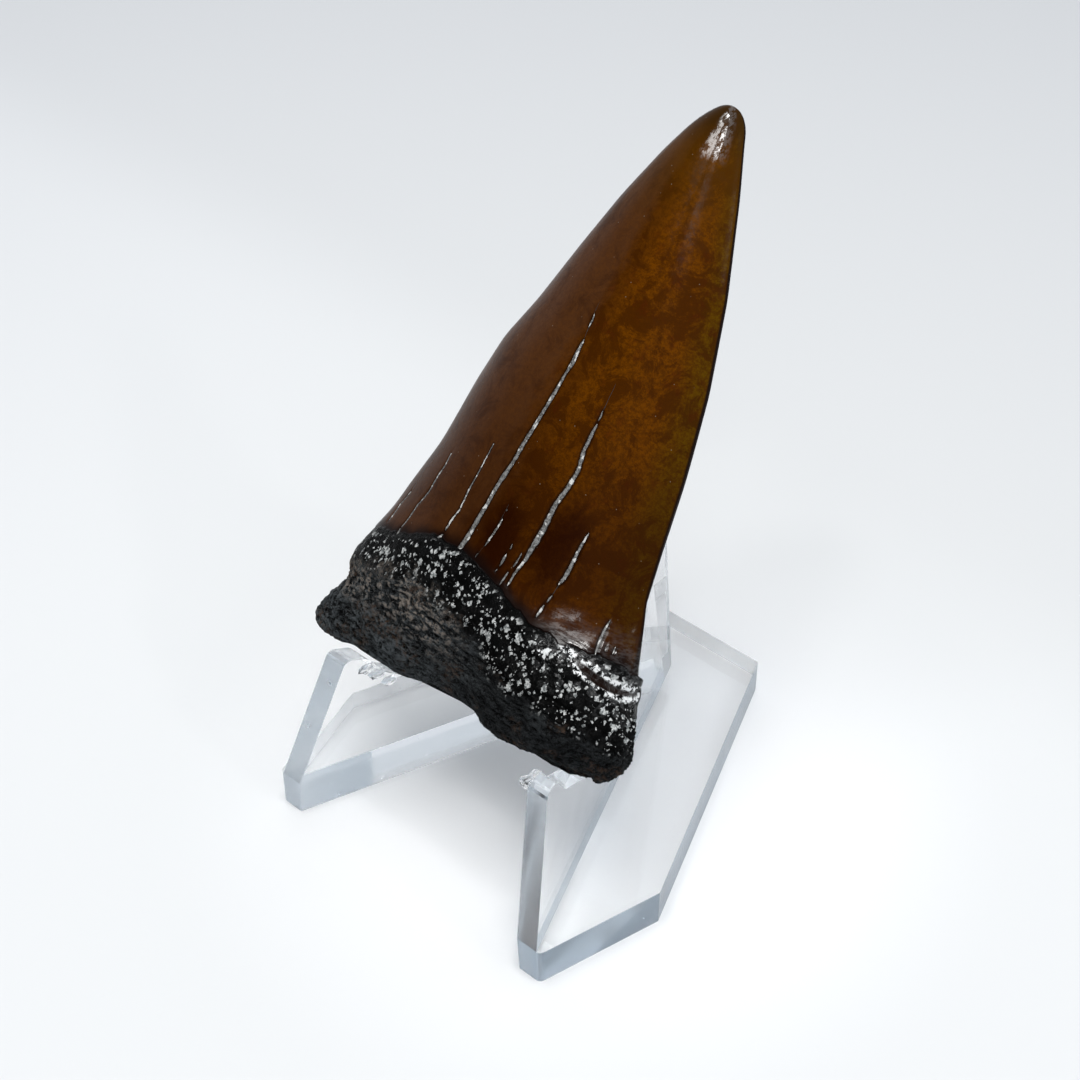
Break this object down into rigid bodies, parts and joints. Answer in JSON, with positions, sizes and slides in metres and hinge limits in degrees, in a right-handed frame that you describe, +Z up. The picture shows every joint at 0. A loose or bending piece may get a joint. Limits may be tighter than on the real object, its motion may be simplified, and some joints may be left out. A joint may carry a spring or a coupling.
{
  "type": "fossil shark tooth on a display stand",
  "caption": "Polished brown fossil shark tooth with a rough dark root, leaning on a clear moulded V-shaped easel.",
  "frame": {"origin": "on the surface that the stand rests on, under the middle of the object's bounding box", "axes": "+Z up; -Y towards the open front of the stand's V, which the tooth faces; +X to the right as seen from the front"},
  "size_m": [0.041, 0.047, 0.0634],
  "materials": {
    "fossil_tooth": "crown polished and glossy in mottled reddish brown to amber, with fine grey-filled cracks; root black to charcoal, fibrous and pitted, glossy with pale flecks along the enamel line",
    "clear_plastic": "clear, colourless and glossy, with small rough break marks inside the lips"
  },
  "bodies": {
    "root": {"tooth": "fossil_tooth", "stand": "clear_plastic"}
  },
  "joints": []
}
